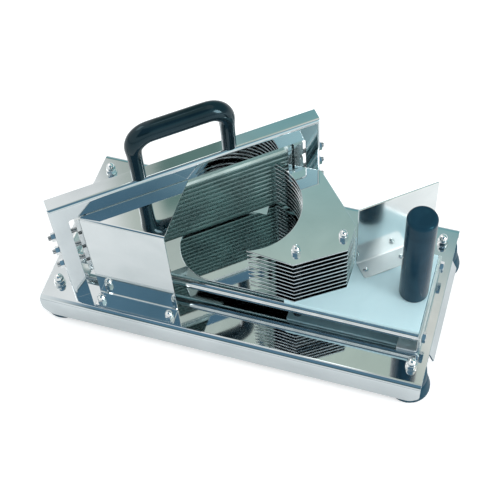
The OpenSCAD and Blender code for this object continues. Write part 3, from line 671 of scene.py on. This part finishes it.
# %% Turn a piece from a list of radii and heights
def turned(name, profile, sides):
    deselect()
    radius, height = profile[0]
    bpy.ops.mesh.primitive_circle_add(vertices=sides, radius=radius * MM, location=(0, 0, 0))
    piece = bpy.context.object
    piece.name = name
    bpy.ops.object.mode_set(mode="EDIT")
    bpy.ops.mesh.select_all(action="SELECT")
    bpy.ops.transform.translate(value=(0, 0, height * MM))
    bpy.ops.mesh.edge_face_add()
    for next_radius, next_height in profile[1:]:
        bpy.ops.mesh.extrude_region_move(TRANSFORM_OT_translate={"value": (0, 0, (next_height - height) * MM)})
        bpy.ops.transform.resize(value=(next_radius / radius, next_radius / radius, 1),
                                 center_override=(0, 0, next_height * MM))
        radius, height = next_radius, next_height
    bpy.ops.mesh.select_all(action="SELECT")
    bpy.ops.mesh.normals_make_consistent(inside=False)
    bpy.ops.object.mode_set(mode="OBJECT")
    bpy.ops.object.shade_smooth_by_angle(angle=SMOOTH_ANGLE)
    return piece


def arc(middle_radius, middle_height, radius, start, end, steps):
    angles = [math.radians(start + (end - start) * i / steps) for i in range(steps + 1)]
    return [(middle_radius + radius * math.cos(a), middle_height + radius * math.sin(a)) for a in angles]


# %% Put a piece in its place, or copies of it
def put(piece, at, turn=(0, 0, 0)):
    make_active(piece)
    piece.location = at
    piece.rotation_euler = turn
    bpy.ops.object.transform_apply(location=True, rotation=True, scale=True)


def copies(pattern, name, node, places, turns=None):
    for number, at in enumerate(places, 1):
        piece = bpy.data.objects.new(name + "_" + str(number), pattern.data.copy())
        bpy.context.scene.collection.objects.link(piece)
        put(piece, at, turns[number - 1] if turns else (0, 0, 0))
        stands_for(piece, node)
    bpy.data.objects.remove(pattern)
    print(name, len(places), "copies")


# %% [markdown]
# ## The push knob
# The knob is a straight grip of glossy plastic with a rounded rim and a slightly dished top. A bevelled
# cylinder would come close, but it has no dish and the same rounding above and below, so the knob is
# turned. Its bore is hidden by the board it stands on, so the turned shape is closed below.

# %% Knob
KNOB_SIDES = 72
KNOB_FOOT_R = 10
KNOB_FOOT_ROUND = 2
KNOB_RIM_ROUND = 4
KNOB_WALL_RINGS = (40, 80)
# How far in from the side, and how far below the top
KNOB_DISH = ((5.5, 0.15), (7.5, 0.5))
DISH_MIDDLE_R, DISH_DEPTH = 3, 0.8
knob_low, knob_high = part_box("knob")
knob_axis = (knob_low + knob_high) / 2
knob_tall = (knob_high.z - knob_low.z) / MM
knob_r = (knob_high.x - knob_low.x) / 2 / MM
knob_profile = ([(KNOB_FOOT_R, 0)] + arc(knob_r - KNOB_FOOT_ROUND, KNOB_FOOT_ROUND, KNOB_FOOT_ROUND, -90, 0, 5)
                + [(knob_r, height) for height in KNOB_WALL_RINGS]
                + arc(knob_r - KNOB_RIM_ROUND, knob_tall - KNOB_RIM_ROUND, KNOB_RIM_ROUND, 0, 90, 9)
                + [(knob_r - inset, knob_tall - below) for inset, below in KNOB_DISH]
                + [(DISH_MIDDLE_R, knob_tall - DISH_DEPTH)])
push_knob = turned("push_knob", knob_profile, KNOB_SIDES)
put(push_knob, (knob_axis.x, knob_axis.y, knob_low.z))
stands_for(push_knob, "knob")
print("knob", round(knob_tall, 1), "mm tall and", round(2 * knob_r, 1), "mm across")

# %% [markdown]
# ## The rubber feet
# Each foot is a soft cup: a rounded rim stands on the bench, the wall flares in to the neck under the base,
# and a shallow groove runs round below the neck. Underneath it is hollow up to the head of its bolt. A cone
# would give the flare only, so the whole section, hollow first, is turned in one line, and one foot is
# copied to each corner.

# %% Feet
FOOT_SIDES = 64
FOOT_R = 21
FOOT_RIM = 2
FOOT_HOLLOW = [(6.2, 14.6), (15.6, 1.2)]
FOOT_WALL = [(FOOT_R, 4), (20.4, 7), (18.6, 14), (17.5, 18)]
FOOT_GROOVE = [(17.0, 18.8), (16.9, 19.6), (17.0, 20.4)]
# Radius, and how far below the top
FOOT_NECK = [(15.5, 1.2), (14.9, 0.3), (14.2, 0), (4, 0)]
foot_low, foot_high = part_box("rubber_feet")
foot_tall = (foot_high.z - foot_low.z) / MM
foot_profile = (FOOT_HOLLOW + arc(FOOT_R - FOOT_RIM, FOOT_RIM, FOOT_RIM, -150, 0, 8) + FOOT_WALL + FOOT_GROOVE
                + [(radius, foot_tall - below) for radius, below in FOOT_NECK])
foot_x = foot_high.x - FOOT_R * MM
foot_y = foot_high.y - FOOT_R * MM
foot_places = [(sx * foot_x, sy * foot_y) for sx in (-1, 1) for sy in (-1, 1)]
copies(turned("foot_cup", foot_profile, FOOT_SIDES), "foot_cup", "rubber_feet",
       [(x, y, 0) for x, y in foot_places])

# %% [markdown]
# ## Nuts and bolt heads
# A real hexagon nut has its corners cut off by a cone, which leaves a small arc on each of its six sides. A
# bevel would cut straight chamfers instead, so a six-sided prism is cut with a turned barrel that has
# sloping ends. A dome nut carries a ball on a short neck.


# %% Join or cut with a second piece
CUT_SMOOTH_ANGLE = math.radians(32)


def combine(piece, tool, how):
    make_active(piece)
    bpy.ops.object.modifier_add(type="BOOLEAN")
    join = piece.modifiers[-1]
    join.operation = how
    join.object = tool
    join.solver = "EXACT"
    bpy.ops.object.modifier_apply(modifier=join.name)
    bpy.data.objects.remove(tool)
    bpy.ops.object.shade_smooth_by_angle(angle=CUT_SMOOTH_ANGLE)


# %% Hexagons with turned corners
COS_30 = math.cos(math.radians(30))
# The barrel runs past the prism's ends, and its number of sides isn't a multiple of six. So no face of one lies
# in a face of the other, and the cut comes out the same each time
BARREL_SIDES = 57
BARREL_PAST = 0.2
BARREL_ROOM = 0.05
CONE_INSIDE = 0.1
CONE_STEEP = 0.55


def hexagon(name, across, high):
    outer = across / 2 / COS_30
    deselect()
    bpy.ops.mesh.primitive_cylinder_add(vertices=6, radius=outer * MM, depth=high * MM,
                                        location=(0, 0, high / 2 * MM), rotation=(0, 0, math.radians(30)))
    piece = bpy.context.object
    piece.name = name
    bpy.ops.object.transform_apply(location=True, rotation=True, scale=True)
    wall_r = outer + BARREL_ROOM
    face_r = across / 2 - CONE_INSIDE
    rise = CONE_STEEP * (outer - across / 2) + CONE_INSIDE
    end_r = face_r - BARREL_PAST * (wall_r - face_r) / rise
    barrel = turned("corner_barrel", [(end_r, -BARREL_PAST), (wall_r, rise), (wall_r, high - rise),
                                      (end_r, high + BARREL_PAST)], BARREL_SIDES)
    combine(piece, barrel, "INTERSECT")
    return piece


# %% Dome nuts
# Sizes as shares of the thread, then threads in millimetres
HEAD_ACROSS = 1.65
HEAD_HIGH = 0.65
NUT_HIGH = 0.8
DOME_HIGH = 2
BALL_ACROSS = 1.55
NECK_START = 0.3
NECK_IN = 0.25
NECK_RISE = 0.3
BALL_SIDES = 40
SMALL_THREAD = 5
MAIN_THREAD = 6
KNOB_THREAD = 8


def dome_nut(name, thread):
    ball_r = BALL_ACROSS / 2 * thread
    neck_r = ball_r - NECK_IN
    nut_top = NUT_HIGH * thread
    piece = hexagon(name, HEAD_ACROSS * thread, nut_top)
    neck = [(neck_r, NECK_START * thread), (neck_r, nut_top + NECK_RISE), (ball_r, nut_top + 2 * NECK_RISE)]
    dome = turned("dome", neck + arc(0, DOME_HIGH * thread - ball_r, ball_r, 0, 86, 9), BALL_SIDES)
    combine(piece, dome, "UNION")
    return piece


washer_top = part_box("foot_washers")[1].z
copies(dome_nut("dome_nut", MAIN_THREAD), "foot_dome_nut", "foot_nuts",
       [(x, y, washer_top) for x, y in foot_places])
small_flat = HEAD_ACROSS * SMALL_THREAD / 2 * MM
small_corner = HEAD_ACROSS * SMALL_THREAD / 2 / COS_30 * MM
low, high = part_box("guard_nuts")
guard_places = [(low.x + small_corner, (low.y + high.y) / 2), (high.x - small_corner, (low.y + high.y) / 2)]
copies(dome_nut("dome_nut", SMALL_THREAD), "guard_dome_nut", "guard_nuts",
       [(x, y, low.z) for x, y in guard_places])
low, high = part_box("pusher_nuts")
pusher_places = [(low.x + small_corner, low.y + small_flat), (high.x - small_corner, high.y - small_flat)]
copies(dome_nut("dome_nut", SMALL_THREAD), "pusher_dome_nut", "pusher_nuts",
       [(x, y, low.z) for x, y in pusher_places])

# %% [markdown]
# ## Bolts
# All the bolts have six-sided heads. Most of their length is hidden, so a head alone would nearly do, but
# shanks show from below and where pieces stand apart. So a whole bolt is modelled for each size and copied.
# The bolts of the feet, the guard, the pusher and the knob come up from below.

# %% Hexagon bolts
SHANK_SIDES = 32
SHANK_GAP = 0.05
SHANK_CHAMFER = 0.5


def hex_bolt(name, thread, long):
    head_high = HEAD_HIGH * thread
    piece = hexagon(name, HEAD_ACROSS * thread, head_high)
    put(piece, (0, 0, -head_high * MM))
    shank_r = thread / 2 - SHANK_GAP
    shank = turned("shank", [(shank_r, -head_high / 2), (shank_r, long - SHANK_CHAMFER),
                             (thread / 2 - SHANK_CHAMFER, long)], SHANK_SIDES)
    combine(piece, shank, "UNION")
    return piece


def bolts_up(name, node, thread, places):
    low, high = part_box(node)
    seat = low.z + HEAD_HIGH * thread * MM
    copies(hex_bolt(name, thread, (high.z - seat) / MM), name, node, [(x, y, seat) for x, y in places])


bolts_up("foot_hex_bolt", "foot_bolts", MAIN_THREAD, foot_places)
bolts_up("guard_hex_bolt", "guard_bolts", SMALL_THREAD, guard_places)
bolts_up("pusher_hex_bolt", "pusher_bolts", SMALL_THREAD, pusher_places)
bolts_up("knob_hex_bolt", "knob_bolt", KNOB_THREAD, [(knob_axis.x, knob_axis.y)])

# %% [markdown]
# ### The rods' bolts
# A bolt through each bracket goes into the end of a rod. It is the same bolt laid on its side, so its
# pattern is turned when it is copied, to the right at the left end and to the left at the right end.

# %% Rod bolts
ROD_BOLT_LONG = 12
half_head = HEAD_ACROSS * MAIN_THREAD / 2 * MM
low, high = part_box("rod_end_bolts")
rod_rows = [low.y + half_head, high.y - half_head]
rod_level = (low.z + high.z) / 2
left_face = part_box("left_rod_bracket")[0].x
right_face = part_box("right_rod_bracket")[1].x
copies(hex_bolt("rod_bolt", MAIN_THREAD, ROD_BOLT_LONG), "rod_hex_bolt", "rod_end_bolts",
       [(x, y, rod_level) for x in (left_face, right_face) for y in rod_rows],
       [(0, math.pi / 2, 0)] * 2 + [(0, -math.pi / 2, 0)] * 2)

# %% [markdown]
# ## The hand guard's screws
# Two small round-headed screws with a cross-shaped recess hold the hand guard's foot to the board. A dark
# cross could be painted on, but a real recess catches the light. So each is cut with two thin crossed
# blocks.

# %% Cross-recessed screws
SCREW_THREAD = 3
SCREW_SEAT = 71.0 * MM
SCREW_SIDES = 40
# Shares of the thread, and of the head's radius for its round top
SCREW_HEAD_R = 0.9
SCREW_HEAD_HIGH = 0.6
SCREW_TOP_R = 1.4
RECESS_SIZE = (1.15, 0.24, 0.7)


def cross_screw(name, thread):
    head_r = SCREW_HEAD_R * thread
    top_r = SCREW_TOP_R * head_r
    piece = turned(name, [(thread / 2, -1.2), (thread / 2, 0), (head_r - 0.15, 0), (head_r, 0.2)]
                   + arc(0, SCREW_HEAD_HIGH * thread - top_r, top_r, 48, 88, 8), SCREW_SIDES)
    for turn in (0, math.pi / 2):
        deselect()
        bpy.ops.mesh.primitive_cube_add(size=1, location=(0, 0, SCREW_HEAD_HIGH * thread * MM),
                                        rotation=(0, 0, turn))
        blade = bpy.context.object
        blade.dimensions = [share * thread * MM for share in RECESS_SIZE]
        bpy.ops.object.transform_apply(location=False, rotation=False, scale=True)
        combine(piece, blade, "DIFFERENCE")
    return piece


low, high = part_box("hand_guard_screws")
screw_half = SCREW_HEAD_R * SCREW_THREAD * MM
copies(cross_screw("cross_screw", SCREW_THREAD), "guard_cross_screw", "hand_guard_screws",
       [(low.x + screw_half, low.y + screw_half, SCREW_SEAT),
        (high.x - screw_half, high.y - screw_half, SCREW_SEAT)])

# %% [markdown]
# ## The frame's bolts and studs
# The frame is slanted, so a point on it is placed by its distance along the frame, its depth behind the
# face and its height. Working out each point by hand would hide that rule. One bolt with a nut holds each
# tab of the frame, and two screws under its top hold the handle. Three threaded studs at each end pull the
# blade bars apart, each held by a lock nut on the frame's outside. A true thread is a helix, but at this
# size it looks like fine rings, and rings can be turned.

# %% Places in the slanted frame
FRAME_CORNER = Vector((-0.162315, -0.0891, 0))
FRAME_ALONG = Vector((math.cos(SLANT), math.sin(SLANT), 0))
FRAME_INTO = Vector((-math.sin(SLANT), math.cos(SLANT), 0))
FRAME_LONG = 275.07


def in_frame(along, deep, high):
    return FRAME_CORNER + FRAME_ALONG * along * MM + FRAME_INTO * deep * MM + Vector((0, 0, high * MM))


print("frame ends at", tuple(round(v, 4) for v in in_frame(FRAME_LONG, 0, 0)))

# %% Frame bolts, frame nuts and handle screws
TAB_AT = 9
HANDLE_SPAN = 91.4
HANDLE_MIDDLE = 137.5
HANDLE_DEEP = 8
tab_places = (TAB_AT, FRAME_LONG - TAB_AT)
low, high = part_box("frame_bolts")
seat = high.z - HEAD_HIGH * MAIN_THREAD * MM
copies(hex_bolt("frame_bolt", MAIN_THREAD, (seat - low.z) / MM), "frame_hex_bolt", "frame_bolts",
       [in_frame(along, TAB_AT, seat / MM) for along in tab_places], [(math.pi, 0, SLANT)] * 2)
nut_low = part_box("frame_nuts")[0].z
copies(hexagon("frame_nut", HEAD_ACROSS * MAIN_THREAD, NUT_HIGH * MAIN_THREAD), "frame_hex_nut", "frame_nuts",
       [in_frame(along, TAB_AT, nut_low / MM) for along in tab_places], [(0, 0, SLANT)] * 2)
low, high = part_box("handle_screws")
seat = low.z + HEAD_HIGH * MAIN_THREAD * MM
post_places = [HANDLE_MIDDLE + side * HANDLE_SPAN / 2 for side in (-1, 1)]
copies(hex_bolt("handle_screw", MAIN_THREAD, (high.z - seat) / MM), "handle_hex_screw", "handle_screws",
       [in_frame(along, HANDLE_DEEP, seat / MM) for along in post_places], [(0, 0, SLANT)] * 2)

# %% Studs and lock nuts
STUD_DEEP = 9.5
STUD_HEIGHTS = (91.45, 114.25, 137.05)
STUD_SIDES = 24
THREAD_STEP = 0.8
# How far the ends, the crests and the roots of the thread lie below its full radius
END_IN, CREST_IN, ROOT_IN = 0.6, 0.02, 0.45
FIRST_CREST = 0.5
# Where the inner end lies, from the frame's end, and the length
RIGHT_STUD = (22.6, 29.6)
LEFT_STUD = (27, 34)
TO_LEFT = (0, -math.pi / 2, SLANT)
TO_RIGHT = (0, math.pi / 2, SLANT)


def threaded(name, thread, long, step):
    rings = [(thread / 2 - END_IN, 0)]
    height = FIRST_CREST
    while height < long - END_IN:
        rings += [(thread / 2 - CREST_IN, height), (thread / 2 - CREST_IN, height + 0.2 * step),
                  (thread / 2 - ROOT_IN, height + 0.6 * step)]
        height += step
    return turned(name, rings + [(thread / 2 - END_IN, long)], STUD_SIDES)


def stud_places(along):
    return [in_frame(along, STUD_DEEP, height) for height in STUD_HEIGHTS]


copies(hexagon("lock_nut", HEAD_ACROSS * SMALL_THREAD, NUT_HIGH * SMALL_THREAD),
       "stud_lock_nut", "tension_nuts", stud_places(0) + stud_places(FRAME_LONG), [TO_LEFT] * 3 + [TO_RIGHT] * 3)
copies(threaded("stud", SMALL_THREAD, RIGHT_STUD[1], THREAD_STEP), "right_stud", "tension_bolts",
       stud_places(FRAME_LONG - RIGHT_STUD[0]), [TO_RIGHT] * 3)
copies(threaded("stud", SMALL_THREAD, LEFT_STUD[1], THREAD_STEP), "left_stud", "tension_bolts",
       stud_places(LEFT_STUD[0]), [TO_LEFT] * 3)

# %% [markdown]
# ## The carry handle
# The handle is one moulded bow: two oval posts grow into a thicker round grip through soft corners. A curve
# with a round section would be quicker, but its section can't turn from oval to round. So a ring is
# extruded up the first post, spun through the corner, drawn along the grip, spun again and drawn down the
# second post. Then every ring is scaled about its own middle, little at the posts and most at the grip.

# %% Draw the bow
POST = (14, 15)
GRIP = 19.5
HANDLE_HIGH = 65
BEND = 18
SIDES = 32
BEND_STEPS = 9
GRIP_RUNS = 4
# Steps up a post, as shares of its straight height
POST_RISES = (0.03, 0.57, 0.25, 0.15)
grip_level = HANDLE_HIGH - GRIP / 2
bend_low = grip_level - BEND
straight = HANDLE_SPAN / 2 - BEND
deselect()
bpy.ops.mesh.primitive_circle_add(vertices=SIDES, radius=POST[0] / 2 * MM, location=(0, 0, 0))
bow = bpy.context.object
bow.name = "carry_bow"
bpy.ops.object.mode_set(mode="EDIT")
bpy.ops.mesh.select_all(action="SELECT")
bpy.ops.transform.resize(value=(1, POST[1] / POST[0], 1), center_override=(0, 0, 0))
bpy.ops.transform.translate(value=(-HANDLE_SPAN / 2 * MM, 0, 0))


def draw_on(step):
    bpy.ops.mesh.extrude_region_move(TRANSFORM_OT_translate={"value": Vector(step) * MM})


def turn_corner(middle_x):
    bpy.ops.mesh.spin(steps=BEND_STEPS, angle=-math.pi / 2, center=(middle_x * MM, 0, bend_low * MM),
                      axis=(0, 1, 0))


for share in POST_RISES:
    draw_on((0, 0, bend_low * share))
turn_corner(-straight)
for run in range(GRIP_RUNS):
    draw_on((2 * straight / GRIP_RUNS, 0, 0))
turn_corner(straight)
for share in reversed(POST_RISES):
    draw_on((0, 0, -bend_low * share))
bpy.ops.object.mode_set(mode="OBJECT")
print("bow rings", len(bow.data.vertices) / SIDES)

# %% Swell the grip
# The share of the grip's height at which a post starts to swell
SWELL_START = 0.45


def swell(height):
    t = max((height / grip_level - SWELL_START) / (1 - SWELL_START), 0)
    return min(t, 1) ** 2 * (3 - 2 * min(t, 1))


ring_count = len(bow.data.vertices) // SIDES
for ring in range(ring_count):
    points = range(ring * SIDES, (ring + 1) * SIDES)
    middle = sum((bow.data.vertices[i].co for i in points), Vector()) / SIDES
    share = swell(middle.z / MM)
    grow = 1 + share * (GRIP / POST[0] - 1)
    deep = (POST[1] + share * (GRIP - POST[1])) / POST[1]
    clear_selection()
    for i in points:
        bow.data.vertices[i].select = True
    bpy.ops.object.mode_set(mode="EDIT")
    bpy.ops.transform.resize(value=(grow, deep, grow), center_override=middle)
print("rings scaled", ring_count)

# %% Close the bow, smooth it and place it on the frame
RING_MERGE = 0.000001
BOW_SMOOTH_ANGLE = math.radians(40)
bpy.ops.mesh.select_all(action="SELECT")
bpy.ops.mesh.remove_doubles(threshold=RING_MERGE)
bpy.ops.mesh.normals_make_consistent(inside=False)
bpy.ops.object.mode_set(mode="OBJECT")
bpy.ops.object.modifier_add(type="SUBSURF")
bow.modifiers[-1].levels = bow.modifiers[-1].render_levels = 1
bpy.ops.object.modifier_apply(modifier=bow.modifiers[-1].name)
bpy.ops.object.mode_set(mode="EDIT")
bpy.ops.mesh.select_all(action="SELECT")
bpy.ops.mesh.fill_holes(sides=0)
bpy.ops.object.mode_set(mode="OBJECT")
bpy.ops.object.shade_smooth_by_angle(angle=BOW_SMOOTH_ANGLE)
frame_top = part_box("blade_frame")[1].z / MM
put(bow, in_frame(HANDLE_MIDDLE, HANDLE_DEEP, frame_top), (0, 0, SLANT))
stands_for(bow, "carry_handle")
